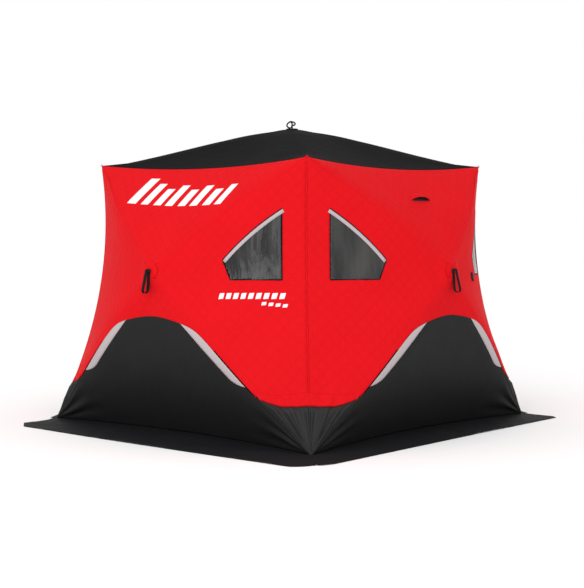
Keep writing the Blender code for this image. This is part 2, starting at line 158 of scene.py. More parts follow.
waveUnit = math.pi / 10
fabric = {
    "quiltRed": "d8161d",
    "quiltShade": "cd131a",
    "roofBlack": "110f11",
    "skirtBlack": "1e1e1e",
    "sleeveBlack": "212121",
    "liner": "1d1d20",
    "quiltSize": 0.045,  # across a diamond of the quilting
    "threadPitch": 0.004,  # real threads are 0.3 mm apart, drawn coarse enough to show
}


def clothMaterial(name, colour, shade, roughness, quilt=0.0, weave=0.12, wrinkle=0.25, gloss=0.1):
    # Coated polyester: matt, with threads that catch a little light. Quilting adds sewn diamonds, and painted shade
    # darkens the colour a little towards their stitch lines.
    material, tree = emptyMaterial(name)
    place = addNode(tree, "ShaderNodeTexCoord")
    flat = place.outputs["UV"]
    mottle = addNode(tree, "ShaderNodeTexNoise", links={"Vector": flat, "Scale": 3.0, "Detail": 4.0})
    blend = addNode(tree, "ShaderNodeMix", {"data_type": "RGBA"}, {"Factor": mottle.outputs["Fac"]})
    blend.inputs["A"].default_value = (*linear(colour), 1)
    blend.inputs["B"].default_value = (*linear(shade), 1)
    colourOut = blend.outputs["Result"]
    pitch = waveUnit / fabric["threadPitch"]
    warp = addNode(tree, "ShaderNodeTexWave", {"bands_direction": "X"}, {"Vector": flat, "Scale": pitch})
    weft = addNode(tree, "ShaderNodeTexWave", {"bands_direction": "Y"}, {"Vector": flat, "Scale": pitch})
    threads = addNode(
        tree, "ShaderNodeMath", {"operation": "MULTIPLY"}, {0: warp.outputs["Fac"], 1: weft.outputs["Fac"]}
    )
    soft = addNode(tree, "ShaderNodeTexNoise", links={"Vector": flat, "Scale": 6.0, "Detail": 6.0})
    bump = addNode(
        tree, "ShaderNodeBump", links={"Height": soft.outputs["Fac"], "Strength": wrinkle, "Distance": 0.02}
    )
    bump = addNode(
        tree,
        "ShaderNodeBump",
        links={
            "Height": threads.outputs[0], "Strength": weave, "Distance": 0.001, "Normal": bump.outputs["Normal"]
        },
    )
    if quilt:
        turned = addNode(tree, "ShaderNodeMapping", links={"Vector": flat, "Rotation": (0, 0, math.radians(45))})
        period = waveUnit / fabric["quiltSize"] / 2
        lines = [
            addNode(
                tree,
                "ShaderNodeTexWave",
                {"bands_direction": way},
                {"Vector": turned.outputs["Vector"], "Scale": period * math.sqrt(2), "Phase Offset": 0.0},
            )
            for way in ("X", "Y")
        ]
        sewn = addNode(
            tree, "ShaderNodeMath", {"operation": "MINIMUM"}, {0: lines[0].outputs["Fac"], 1: lines[1].outputs["Fac"]}
        )
        puff = addNode(tree, "ShaderNodeMath", {"operation": "POWER"}, {0: sewn.outputs[0], 1: 0.35})
        bump = addNode(
            tree,
            "ShaderNodeBump",
            links={
                "Height": puff.outputs[0], "Strength": quilt, "Distance": 0.003, "Normal": bump.outputs["Normal"]
            },
        )
        # Painted shade: the colour darkens by up to 4.5% towards the stitch lines, where the puffs dip.
        stitchValleyShade = addNode(
            tree, "ShaderNodeMapRange", links={"Value": puff.outputs[0], "To Min": 0.955, "To Max": 1.0}
        )
        stitchShadedColour = addNode(tree, "ShaderNodeMix", {"data_type": "RGBA", "blend_type": "MULTIPLY"}, {"Factor": 1.0})
        tree.links.new(colourOut, stitchShadedColour.inputs["A"])
        tree.links.new(stitchValleyShade.outputs["Result"], stitchShadedColour.inputs["B"])
        colourOut = stitchShadedColour.outputs["Result"]
    shader = addNode(
        tree,
        "ShaderNodeBsdfPrincipled",
        links={
            "Base Color": colourOut,
            "Roughness": roughness,
            "Specular IOR Level": gloss,
            "Normal": bump.outputs["Normal"],
        },
    )
    closeMaterial(tree, shader)
    return material


def plainMaterial(name, colour, roughness, grain, size, metallic=0.0, **more):
    # Moulded, drawn or cast stock whose grain shows as a fine unevenness.
    material, tree = emptyMaterial(name)
    place = addNode(tree, "ShaderNodeTexCoord")
    spots = addNode(
        tree, "ShaderNodeTexNoise", links={"Vector": place.outputs["Object"], "Scale": 1 / size, "Detail": 3.0}
    )
    bump = addNode(
        tree, "ShaderNodeBump", links={"Height": spots.outputs["Fac"], "Strength": grain, "Distance": size / 4}
    )
    rough = addNode(
        tree,
        "ShaderNodeMapRange",
        links={"Value": spots.outputs["Fac"], "To Min": roughness - 0.06, "To Max": roughness + 0.06},
    )
    links = {
        "Base Color": (*linear(colour), 1),
        "Metallic": metallic,
        "Roughness": rough.outputs["Result"],
        "Normal": bump.outputs["Normal"],
    }
    links.update(more)
    closeMaterial(tree, addNode(tree, "ShaderNodeBsdfPrincipled", links=links))
    return material


# Quilted polyester: red, matt, its filling held by sewn diamonds.
quiltedPolyester = clothMaterial(
    "quiltedPolyester", fabric["quiltRed"], fabric["quiltShade"], 0.62, quilt=0.5, gloss=0.02
)
# Coated polyester: black and plain, a touch glossier where it is pulled tight.
coatedPolyester = clothMaterial("coatedPolyester", fabric["sleeveBlack"], "1d1d1d", 0.6, wrinkle=0.35)
# The corner pieces' cloth is softer and paler, and gathered.
gatheredPolyester = clothMaterial("gatheredPolyester", "2d2d2d", "252525", 0.6, wrinkle=0.35, gloss=0.15)
roofPolyester = clothMaterial("roofPolyester", fabric["roofBlack"], "0e0c0e", 0.75, wrinkle=0.3, gloss=0.03)
skirtPolyester = clothMaterial("skirtPolyester", fabric["skirtBlack"], "161616", 0.6, wrinkle=1.0)
# Liner: the dark coated back of the same cloth.
clothLiner = clothMaterial("clothLiner", fabric["liner"], "18181a", 0.7, wrinkle=0.2)
# Bound seam: the same red cloth folded over, drawn dark red as painted shade for the fold and the shadow under its
# edge.
shadedRedBinding = clothMaterial("shadedRedBinding", "870d13", "790b11", 0.7, weave=0.3)
# Reflective tape: glass beads under clear film, pale and faintly warm.
reflectiveTape = plainMaterial("reflectiveTape", "b3a9ab", 0.45, 0.15, 0.004, **{"Specular IOR Level": 0.2})
# Polyester webbing: coarse black weave.
webbingBlack = clothMaterial("webbingBlack", "161617", "101011", 0.75, weave=0.8, wrinkle=0.1)
# Nylon, injection moulded: satin black.
mouldedNylon = plainMaterial("mouldedNylon", "1b1b1d", 0.42, 0.12, 0.002)
# Pultruded fibreglass: pale, satin, with fine lengthwise fibres.
pultrudedFibreglass = plainMaterial("pultrudedFibreglass", "c8c2ae", 0.38, 0.1, 0.003)
# Zipper slider: cast zinc, dulled by handling.
castZinc = plainMaterial("castZinc", "8d8d90", 0.35, 0.1, 0.001, metallic=1.0)
# Zipper coil: black nylon teeth.
zipperCoil = plainMaterial("zipperCoil", "101011", 0.4, 0.3, 0.002)
# A strip along the seam between wall and skirt, the deepest black with no shine: painted shadow in the crease there.
creaseShadowTape = plainMaterial("creaseShadowTape", "050505", 0.9, 0.2, 0.002, **{"Specular IOR Level": 0.0})
# Print: white ink on cloth.
whiteInk = plainMaterial("whiteInk", "f3efee", 0.55, 0.2, 0.003)
# Vent mesh: black netting in deep shade.
ventNetting = plainMaterial("ventNetting", "160506", 0.9, 0.4, 0.003)


def vinylMaterial():
    # Smoked vinyl: glossy and uneven, so that what it mirrors breaks into soft upright streaks. Its dark tint is also
    # painted lighter along the same streaks: painted reflection.
    material, tree = emptyMaterial("smokedVinyl")
    place = addNode(tree, "ShaderNodeTexCoord")
    stretched = addNode(tree, "ShaderNodeMapping", links={"Vector": place.outputs["Object"], "Scale": (9, 9, 2.2)})
    streaks = addNode(
        tree, "ShaderNodeTexNoise", links={"Vector": stretched.outputs["Vector"], "Scale": 1.0, "Detail": 3.0}
    )
    bump = addNode(
        tree, "ShaderNodeBump", links={"Height": streaks.outputs["Fac"], "Strength": 0.45, "Distance": 0.05}
    )
    # Painted reflection: the smoked tint runs lighter along the upright streaks.
    tintAndStreakGlare = addNode(tree, "ShaderNodeValToRGB", links={"Fac": streaks.outputs["Fac"]})
    tintAndStreakGlare.color_ramp.elements[0].position = 0.35
    tintAndStreakGlare.color_ramp.elements[0].color = (*linear("18181a"), 1)
    tintAndStreakGlare.color_ramp.elements[1].position = 0.7
    tintAndStreakGlare.color_ramp.elements[1].color = (*linear("403f3d"), 1)
    shader = addNode(
        tree,
        "ShaderNodeBsdfPrincipled",
        links={
            "Base Color": tintAndStreakGlare.outputs["Color"],
            "Roughness": 0.13,
            "Specular IOR Level": 0.45,
            "Alpha": 0.9,
            "Normal": bump.outputs["Normal"],
        },
    )
    closeMaterial(tree, shader)
    return material


smokedVinyl = vinylMaterial()
print("materials ready")


# The cover's surface. Every panel is read from the frame: its corners are where its fold lines cross.

cover = {
    "seamBow": 0.145,  # a wall corner's seam, pulled in at the middle of its height
    "groundBow": 0.14,  # a wall's ground edge, pulled in at its middle
    "roofEdgeSag": 0.055,
    "wallPoleBow": 0.062,  # tension bends the poles outwards
    "roofPoleBow": 0.036,
    "ridge": 0.14,  # how far to each side the cloth is rounded over a pole
    "hubDomeRadius": 0.17,
    "thickness": 2 * mm,
    "tipRadius": 0.05,  # the cloth ends under the hub's plate
    "flap": 0.012,  # tucked under the neighbour along a pole
    "blendFrom": 0.065,
    "blendTo": 0.15,
}


# How steeply the cloth falls away from a pole: at the corner, and what it loses towards the hub.
ridgeSlopes = {"lower": (0.375, 0.08), "upper": (0.358, 0.0), "roof": (0.258, 0.0)}
hubDomes = {"wall": 0.019, "roof": 0.009}  # how far a hub's plate holds the cloth out


def crossing(jointA, jointB):
    placeA, placeB = Vector(jointA["pos_m"]), Vector(jointB["pos_m"])
    return intersect_line_line(placeA, placeA + Vector(jointA["axis"]), placeB, placeB + Vector(jointB["axis"]))[0]


def readPanel(name):
    push = joints[f"{name}_hub_push"]
    normal = -Vector(push["axis"])
    folds = [joints[f"{name}_{side}_fold"] for side in sideNames]
    corners = [crossing(folds[i - 1], folds[i]) for i in range(4)]
    feet = [Vector(fold["pos_m"]) for fold in folds[:2]]
    ways = [normal.cross(Vector(fold["axis"])) for fold in folds[:2]]
    middle = intersect_line_line(feet[0], feet[0] + ways[0], feet[1], feet[1] + ways[1])[0]
    return SimpleNamespace(
        name=name, normal=normal, corners=corners, hub=middle + normal * push["range_m"][1] / 2
    )


panels = {name: readPanel(name) for name in (*wallNames, "roof")}


def makeFacet(panelName, side):
    # One of a panel's four pieces of cloth. Flat places on it are (along its seam, in towards the hub).
    panel = panels[panelName]
    first = sideNames.index(side)
    start, end = panel.corners[first], panel.corners[(first + 1) % 4]
    along = (end - start).normalized()
    toHub = panel.hub - start
    foot = toHub.dot(along)
    middle = (start + end) / 2
    outwards = Vector((middle.x, middle.y, 0)).normalized()
    isRoof = panelName == "roof"
    if isRoof or side == "top":
        bow = (-outwards * 0.5 - Vector((0, 0, 0.85))).normalized() * cover["roofEdgeSag"]
    else:
        bow = -outwards * cover["groundBow" if side == "bottom" else "seamBow"]
    return SimpleNamespace(
        name=f"{panelName}_{side}",
        panel=panel,
        side=side,
        start=start,
        end=end,
        hub=panel.hub,
        along=along,
        length=(end - start).length,
        foot=foot,
        reach=(toHub - along * foot).length,
        bow=bow,
        bowFade=2 if side == "bottom" and not isRoof else 1,
        poleBow=cover["roofPoleBow" if isRoof else "wallPoleBow"],
        polePower=2 if isRoof else 1,
        hubDome=hubDomes["roof" if isRoof else "wall"],
    )


facets = {(name, side): makeFacet(name, side) for name in panels for side in sideNames}


def flatPlace(facet, u, v):
    # From shares across and up the piece to a flat place on it.
    return Vector((facet.foot * v + u * facet.length * (1 - v), v * facet.reach))


def smoothStep(value, low, high):
    share = min(max((value - low) / (high - low), 0), 1)
    return share * share * (3 - 2 * share)


def hubLift(dome, radius):
    return dome * (1 - smoothStep(radius, cover["tipRadius"], cover["hubDomeRadius"]))


def ridgeKind(facet, atEnd):
    if facet.panel.name == "roof":
        return "roof"
    # A right piece ends at the roof, and a left one starts there.
    isUpper = facet.side == "top" or (facet.side == "right") == atEnd and facet.side != "bottom"
    return "upper" if isUpper else "lower"


def onCover(facet, a, b, rise=0.0):
    v = min(b / facet.reach, 0.985)
    u = (a - facet.foot * v) / (facet.length * (1 - v))
    point = facet.start.lerp(facet.end, u).lerp(facet.hub, v)
    point += facet.bow * (4 * u * (1 - u) * (1 - v) ** facet.bowFade)
    out = facet.poleBow * math.sin(math.pi * v ** facet.polePower)
    out += hubLift(facet.hubDome, math.hypot(a - facet.foot, b - facet.reach))
    width = cover["ridge"] * min(1, v / 0.12, (1 - v) / 0.35)
    away = min(u, 1 - u) * facet.length * (1 - v) * 0.68
    if width > mm and away < width:
        steep, fade = ridgeSlopes[ridgeKind(facet, u > 0.5)]
        out -= (steep - fade * v) * width / 2 * (1 - away / width) ** 2
    point += facet.panel.normal * out
    if rise:
        point += facetNormal(facet, a, b) * rise
    return point


def facetNormal(facet, a, b, step=0.004):
    here = onCover(facet, a, b)
    return (onCover(facet, a + step, b) - here).cross(onCover(facet, a, b + step) - here).normalized()


def fromGround(facet, distance):
    # A place along a side seam, counted from the ground corner.
    return distance if facet.side == "right" else facet.length - distance


# Folds. They fan out of the ground corners, where the cloth is gathered by the corner pockets.

folds = {"depth": 7 * mm, "reach": 0.62, "count": 22, "slack": 2.5 * mm, "slackSize": 0.33}


def foldRise(facet, a, b):
    rise = 0.0
    if facet.panel.name != "roof" and facet.side != "top":
        ends = {"bottom": (0, facet.length), "right": (0,), "left": (facet.length,)}[facet.side]
        for end in ends:
            away = math.hypot(a - end, b)
            angle = math.atan2(b, abs(a - end))
            wander = noise.noise(Vector((angle * 3.1, away * 2.0, end + facet.reach)))
            wave = math.sin(angle * folds["count"] + 2.2 * wander)
            rise += folds["depth"] * wave * smoothStep(away, 0.03, 0.16) * (1 - smoothStep(away, 0.2, folds["reach"]))
    place = Vector((a, b, facet.start.x + 2 * facet.start.y)) / folds["slackSize"]
    rise += folds["slack"] * noise.noise(place)
    edge = min(1.0, max(b, 0) / 0.06)
    v = b / facet.reach
    u = (a - facet.foot * v) / (facet.length * max(1 - v, 0.02))
    poleFade = smoothStep(min(u, 1 - u) * facet.length * (1 - v), 0.0, 0.05)
    return rise * edge * poleFade


# Making cloth: a grid laid flat, cut, then lifted onto the cover.


def flatGrid(columns, rows, place):
    shape = bmesh.new()
    bmesh.ops.create_grid(shape, x_segments=columns, y_segments=rows, size=0.5)
    for point in shape.verts:
        a, b = place(point.co.x + 0.5, point.co.y + 0.5)
        point.co = (a, b, 0)
    return shape


def faceUp(shape):
    # Turns a flat shape's faces towards the outside of the cover.
    bmesh.ops.recalc_face_normals(shape, faces=shape.faces)
    if sum(face.normal.z for face in shape.faces) < 0:
        bmesh.ops.reverse_faces(shape, faces=shape.faces)


def cutHole(shape, outline):
    # Splits the faces along an outline that bends one way only, then takes out what lies inside.
    middle = sum((Vector(p) for p in outline), Vector((0, 0))) / len(outline)
    radius = max((Vector(p) - middle).length for p in outline) + 0.08
    turn = 1 if sum(
        p[0] * q[1] - q[0] * p[1] for p, q in zip(outline, outline[1:] + outline[:1])
    ) > 0 else -1
    sides = []
    for start, end in zip(outline, outline[1:] + outline[:1]):
        way = (Vector(end) - Vector(start)).normalized()
        sides.append((Vector(start).to_3d(), Vector((way.y * turn, -way.x * turn, 0))))
    for place, outwards in sides:
        near = [f for f in shape.faces if (f.calc_center_median().xy - middle).length < radius]
        geometry = near + list({e for f in near for e in f.edges}) + list({v for f in near for v in f.verts})
        bmesh.ops.bisect_plane(shape, geom=geometry, plane_co=place, plane_no=outwards, dist=1e-6)
    inside = [
        f for f in shape.faces
        if all((f.calc_center_median() - place).dot(outwards) < 0 for place, outwards in sides)
    ]
    bmesh.ops.delete(shape, geom=inside, context="FACES")


flatAreas = {}


def liftedObject(name, shape, facet, rise, materials, thickness=None):
    # rise gives a flat place's height above the cover.
    flatAreas[name] = sum(face.calc_area() for face in shape.faces)
    layer = shape.loops.layers.uv.new("flat")
    for face in shape.faces:
        face.smooth = True
        for loop in face.loops:
            loop[layer].uv = loop.vert.co.xy
    for point in shape.verts:
        a, b = point.co.x, point.co.y
        point.co = onCover(facet, a, b, rise(a, b) or 1e-9)
    return finishedObject(name, shape, materials, thickness)


def finishedObject(name, shape, materials, thickness=None):
    mesh = bpy.data.meshes.new(name)
    shape.to_mesh(mesh)
    shape.free()
    for material in materials:
        mesh.materials.append(material)
    piece = bpy.data.objects.new(name, mesh)
    bpy.context.scene.collection.objects.link(piece)
    if thickness:
        shell = piece.modifiers.new("thickness", "SOLIDIFY")
        shell.thickness = thickness
        shell.offset = -1
        shell.use_even_offset = False
        if len(materials) > 1:
            shell.material_offset = 1
    return piece


def followFold(piece):
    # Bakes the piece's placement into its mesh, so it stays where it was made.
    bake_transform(piece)


def ribbon(name, facet, path, width, rise, material, closed=False, crown=0.0, rows=2, thickness=1.2 * mm):
    # A strip of that width along a flat path. crown lifts its middle.
    points = [Vector(p) for p in path]
    count = len(points)
    normals = []
    for i, point in enumerate(points):
        before = points[i - 1] if i or closed else point
        after = points[(i + 1) % count] if i < count - 1 or closed else point
        wayIn, wayOut = (point - before), (after - point)
        wayIn = wayIn.normalized() if wayIn.length else wayOut.normalized()
        wayOut = wayOut.normalized() if wayOut.length else wayIn
        way = (wayIn + wayOut).normalized()
        reach = 1 / max(way.dot(wayIn), 0.5)
        normals.append(Vector((-way.y, way.x)) * reach)
    steps = count if closed else count - 1
    shape = bmesh.new()
    bmesh.ops.create_grid(shape, x_segments=steps, y_segments=rows, size=0.5)
    layer = shape.loops.layers.uv.new("flat")
    across = {}
    for point in shape.verts:
        i = round((point.co.x + 0.5) * steps)
        across[point] = (i, point.co.y)
    for face in shape.faces:
        face.smooth = True
        for loop in face.loops:
            i, j = across[loop.vert]
            loop[layer].uv = (i * 0.02, j * width)
    for point, (i, j) in across.items():
        flat = points[i % count] + normals[i % count] * j * width
        height = rise + crown * (1 - (2 * j) ** 2) + foldRise(facet, flat.x, flat.y)
        point.co = onCover(facet, flat.x, flat.y, height)
    if closed:
        bmesh.ops.remove_doubles(shape, verts=shape.verts, dist=1e-6)
    piece = finishedObject(name, shape, [material], thickness)
    followFold(piece)
    return piece


def bend(start, control, end, steps, skipFirst=False):
    # A quadratic bend between two flat places.
    start, control, end = Vector(start), Vector(control), Vector(end)
    shares = [i / steps for i in range(1 if skipFirst else 0, steps + 1)]
    return [start * (1 - s) ** 2 + control * 2 * s * (1 - s) + end * s * s for s in shares]


# Windows

window = {
    "sillUp": 1.065,  # along the corner seam, from the ground
    "topUp": 1.518,
    "fromSeam": 0.149,
    "sillEnd": (1.088, 0.483),
    "nose": (1.218, 0.535),
    "bulge": 0.024,  # of the top edge
    "binding": 4.5 * mm,
    "tape": 0.024,
    "tapeOut": 0.017,  # the tape's middle above the window's edge
    "sag": 4 * mm,
}
windowPlaces = (("front", "right"), ("right", "left"), ("right", "right"), ("back", "left"), ("left", "left"))


def windowTopEdge(facet):
    nose, top = Vector(window["nose"]), Vector((window["topUp"], window["fromSeam"]))
    middle = (nose + top) / 2 + Vector((window["bulge"], window["bulge"] * 0.75))
    return [(fromGround(facet, x), y) for x, y in bend(nose, middle, top, 10)]


def windowOutline(facet):
    low = [(window["sillUp"], window["fromSeam"]), window["sillEnd"]]
    return [(fromGround(facet, x), y) for x, y in low] + windowTopEdge(facet)


def densePath(points, spacing, closed=False):
    # The same path with points no further apart than the spacing.
    found = []
    ends = points[1:] + points[:1] if closed else points[1:]
    for start, end in zip(points, ends):
        start, end = Vector(start), Vector(end)
        steps = max(1, math.ceil((end - start).length / spacing))
        found += [start.lerp(end, i / steps) for i in range(steps)]
    return found if closed else found + [Vector(points[-1])]


def makeWindow(panelName, side):
    facet = facets[panelName, side]
    outline = windowOutline(facet)
    xs, ys = [p[0] for p in outline], [p[1] for p in outline]
    low, size = Vector((min(xs), min(ys))), Vector((max(xs) - min(xs), max(ys) - min(ys)))
    shape = flatGrid(34, 30, lambda s, t: (low.x + size.x * s, low.y + size.y * t))
    middle = low + size / 2
    for start, end in zip(outline, outline[1:] + outline[:1]):
        way = (Vector(end) - Vector(start)).normalized()
        outwards = Vector((way.y, -way.x, 0))
        if outwards.dot((Vector(start) - middle).to_3d()) < 0:
            outwards.negate()
        everything = shape.verts[:] + shape.edges[:] + shape.faces[:]
        bmesh.ops.bisect_plane(
            shape, geom=everything, plane_co=Vector(start).to_3d(), plane_no=outwards, clear_outer=True, dist=1e-6
        )

    def sag(a, b):
        inside = 1 - min(1, (Vector((a, b)) - middle).length / (size.length / 2)) ** 2
        ripple = noise.noise(Vector((a * 3, b * 11, facet.start.x)))
        return -1.0 * mm - window["sag"] * inside + 2.5 * mm * ripple * inside

    name = f"{panelName}_{side}_window"
    pane = liftedObject(name + "_pane", shape, facet, sag, [smokedVinyl], 0.8 * mm)
    followFold(pane)
    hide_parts(name)
    rim = densePath(outline, 0.04, closed=True)
    binding = ribbon(name + "_binding", facet, rim, window["binding"], 1 * mm, webbingBlack, True, 1 * mm)
    edge = windowTopEdge(facet)
    path = []
    for i, point in enumerate(edge):
        before, after = Vector(edge[max(i - 1, 0)]), Vector(edge[min(i + 1, len(edge) - 1)])
        way = (after - before).normalized()
        path.append(Vector(point) + Vector((way.y, -way.x)) * window["tapeOut"] * (1 if side == "right" else -1))
    tape = ribbon(name + "_tape", facet, densePath(path, 0.03), window["tape"], 2 * mm, reflectiveTape)
    return [pane, binding, tape]


# Black lower panels, drawn as heights above the ground edge at each distance from the wall's middle.

lower = {
    "top": 0.787,  # the top edge at the middle
    "crownFall": 0.25,  # how it falls off to the sides, per metre squared
    "slopeFrom": (0.761, 0.374),  # a place on its sloping side
    "slope": 0.975,
    "cornerBand": 0.31,  # where it levels out towards the corner
    "softTop": 0.035,
    "softLow": 0.02,
    "cornerUp": 0.286,  # its height up the corner seam
    "hem": 0.085,  # of the red cloth over the corner pieces
    "rise": 2.2 * mm,
}
strip = {
    "innerTop": (0.248, 0.768),
    "innerLow": (0.617, 0.436),
    "innerBend": (0.662, 0.394),
    "outerFrom": 0.258,
    "outerTo": 0.748,
    "straightShare": 0.8,
}


def softMin(first, second, softness):
    return (first + second - math.sqrt((first - second) ** 2 + 4 * softness**2)) / 2


def softMax(first, second, softness):
    return (first + second + math.sqrt((first - second) ** 2 + 4 * softness**2)) / 2


def lowerEdge(facet, fromMiddle):
    x = abs(fromMiddle)
    crown = lower["top"] - lower["crownFall"] * x * x
    slope = lower["slopeFrom"][1] + (lower["slopeFrom"][0] - x) * lower["slope"]
    edge = softMax(softMin(crown, slope, lower["softTop"]), lower["cornerBand"], lower["softLow"])
    crest = 0.4 * lower["softTop"] * smoothStep(0.3 - x, 0, 0.3)
    return min(edge + crest, facet.reach * (1 - x / (facet.length / 2)))


def makeLowerPanel(wallName):
    facet = facets[wallName, "bottom"]
    half = facet.length / 2

    def place(s, t):
        x = half * (2 * s - 1)
        x *= 0.999
        return half + x, t * lowerEdge(facet, x)

    name = f"{wallName}_bottom_panel"
    shape = flatGrid(150, 46, place)
    panel = liftedObject(
        name, shape, facet, lambda a, b: lower["rise"] + foldRise(facet, a, b), [coatedPolyester, clothLiner],
        cover["thickness"],
    )
    followFold(panel)
    return panel


def cornerSpread(facet):
    return math.atan2(facet.reach, facet.foot if facet.side == "right" else facet.length - facet.foot)


def cornerRadius(share):
    # From the seam, where share is 0, to the pole, where it is 1.
    return lower["cornerUp"] + 0.085 * share**2 + 0.097 * share**6


def cornerReach(facet, flat):
    away = abs(flat.x - fromGround(facet, 0.0))
    return cornerRadius(min(1, math.atan2(max(flat.y, 0), away) / cornerSpread(facet)))


pleats = {"count": 46, "slope": 0.031, "wander": 1.6}


def pleatRise(facet, a, b):
    # Narrow gathers that run out from the ground corner.
    away = math.hypot(a - fromGround(facet, 0.0), b)
    angle = math.atan2(b, abs(a - fromGround(facet, 0.0)))
    share = angle / cornerSpread(facet)
    shift = pleats["wander"] * noise.noise(Vector((angle * 4, away * 3, facet.start.x + facet.start.y)))
    wave = 1 - abs(math.sin(angle * pleats["count"] / 2 + shift * 1.5)) ** 0.7
    edge = smoothStep(share, 0.0, 0.08) * (1 - smoothStep(share, 0.9, 1.0))
    under = 1 - 0.97 * smoothStep(away, cornerRadius(share) - 0.05, cornerRadius(share) - 0.008)
    height = 2 * pleats["slope"] * away * (1 - wave) * edge * (0.75 + 0.25 * math.sin(angle * 13 + facet.start.y))
    return height * under


def makeCornerPiece(wallName, side):
    # The black cloth that wraps the corner: a fan about the ground corner, from the seam to the pole.
    facet = facets[wallName, side]
    spread = cornerSpread(facet)

    def place(s, t):
        angle = spread * s
        radius = t * (cornerRadius(s) + 0.012)
        return fromGround(facet, radius * math.cos(angle)), radius * math.sin(angle)

    shape = flatGrid(72, 30, place)
    bmesh.ops.remove_doubles(shape, verts=shape.verts, dist=1e-6)
    faceUp(shape)
    piece = liftedObject(
        f"{wallName}_{side}_corner",
        shape,
        facet,
        lambda a, b: foldRise(facet, a, b) + pleatRise(facet, a, b),
        [gatheredPolyester, clothLiner],
        cover["thickness"],
    )
    followFold(piece)

    # The red cloth's turned hem lies over its top.
    def bandPlace(s, t):
        angle = spread * s
        radius = cornerRadius(s) - 2 * mm + lower["hem"] * t
        return fromGround(facet, radius * math.cos(angle)), radius * math.sin(angle)

    def bandRise(a, b):
        away = math.hypot(a - fromGround(facet, 0.0), b)
        share = min(max((away - cornerReach(facet, Vector((a, b)))) / lower["hem"], 0), 1)
        return foldRise(facet, a, b) + 0.8 * mm + 3.2 * mm * (1 - share) ** 2

    shape = flatGrid(60, 8, bandPlace)
    faceUp(shape)
    name = f"{wallName}_{side}_corner_hem"
    band = liftedObject(name, shape, facet, bandRise, [quiltedPolyester], 2 * mm)
    followFold(band)
    edge = [bandPlace(0.01 + 0.98 * i / 40, 0.03) for i in range(41)]
    # The edging takes the darkened red binding: painted shade along the hem's edge.
    edging = ribbon(name + "_edging", facet, edge, 8 * mm, 4.6 * mm, shadedRedBinding)
    return [piece, band, edging]


def groundCreaseShadow(facet):
    # A near-black strip along the seam that joins the wall to the skirt: painted shadow in its crease.
    path = [(facet.length * (0.01 + 0.98 * i / 80), 7 * mm) for i in range(81)]
    return ribbon(f"{facet.name}_ground_binding", facet, path, 9 * mm, 3 * mm, creaseShadowTape)


def makeStrips(wallName):
    facet = facets[wallName, "bottom"]
    half = facet.length / 2
    made = []
    bendLine = bend(strip["innerLow"], strip["innerBend"], (strip["outerTo"], lowerEdge(facet, strip["outerTo"])), 20)
    for hand, label in ((-1, "left"), (1, "right")):

        def place(s, t):
            x = strip["outerFrom"] + (strip["outerTo"] - strip["outerFrom"]) * s
            outer = Vector((x, lowerEdge(facet, x)))
            if s < strip["straightShare"]:
                inner = Vector(strip["innerTop"]).lerp(Vector(strip["innerLow"]), s / strip["straightShare"])
            else:
                inner = bendLine[round((s - strip["straightShare"]) / (1 - strip["straightShare"]) * 20)]
            flat = inner.lerp(outer, t)
            return half + hand * flat.x, flat.y

        shape = flatGrid(100, 4, place)
        faceUp(shape)
        tape = liftedObject(
            f"{wallName}_{label}_tape",
            shape,
            facet,
            lambda a, b: lower["rise"] + 0.8 * mm + foldRise(facet, a, b),
            [reflectiveTape],
            0.8 * mm,
        )
        followFold(tape)
        made.append(tape)
    return made


# Door, in a side piece of the left wall

door = {"place": ("left", "right"), "fromSeam": 0.165, "fromPole": 0.05, "reach": 0.60, "tape": 0.03, "coil": 8 * mm}


def acrossPlace(facet, height, end, inset):
    # A place at this height above the seam, that far in from the pole line that leaves the seam's end.
    corner = facet.length if end else 0.0
    slope = (facet.foot - corner) / facet.reach
    shift = inset * math.hypot(1, slope) * (-1 if end else 1)
    return Vector((corner + slope * height + shift, height))


def doorOutline(shrink=0.0):
    facet = facets[door["place"]]
    near, far = door["fromSeam"] + shrink, door["fromSeam"] + door["reach"] - shrink
    inset = door["fromPole"] + shrink
    return [
        tuple(acrossPlace(facet, near, False, inset)),
        tuple(acrossPlace(facet, near, True, inset)),
        tuple(acrossPlace(facet, far, True, inset)),
        tuple(acrossPlace(facet, far, False, inset)),
    ]


def makeDoor():
    facet = facets[door["place"]]
    corners = [Vector(p) for p in doorOutline(2 * mm)]

    def place(s, t):
        return corners[0].lerp(corners[1], s).lerp(corners[3].lerp(corners[2], s), t)

    flap = liftedObject(
        "door_flap_cloth",
        flatGrid(60, 30, place),
        facet,
        lambda a, b: foldRise(facet, a, b),
        [quiltedPolyester, clothLiner],
        cover["thickness"],
    )
    hinge = onCover(facet, (corners[0].x + corners[1].x) / 2, corners[0].y)
    inner = onCover(facet, (corners[2].x + corners[3].x) / 2, corners[2].y)
    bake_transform(flap)
    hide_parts("door_flap")
    path = [tuple(p) for p in (corners[0], corners[3], corners[2], corners[1])]
    outer = doorOutline(-door["tape"] / 2)
    outerPath = densePath([outer[0], outer[3], outer[2], outer[1]], 0.03)
    # The zipper tape takes the same darkened red: its dark colour is painted shade along the door's edge.
    tape = ribbon("door_zipper_tape", facet, outerPath, door["tape"], 1.5 * mm, shadedRedBinding)
    coilPath = doorOutline(0.0)
    coil = ribbon(
        "door_zipper_coil",
        facet,
        densePath([coilPath[0], coilPath[3], coilPath[2], coilPath[1]], 0.03),
        door["coil"],
        1.5 * mm,
        zipperCoil,
        crown=1.5 * mm,
        rows=4,
    )
    return [tape, coil]


# Vent, under a hood in the top piece of the right wall

vent = {"down": 0.238, "width": 0.20, "height": 0.037, "hoodUp": 0.03, "hoodLift": 0.026, "cutShare": 1.35}


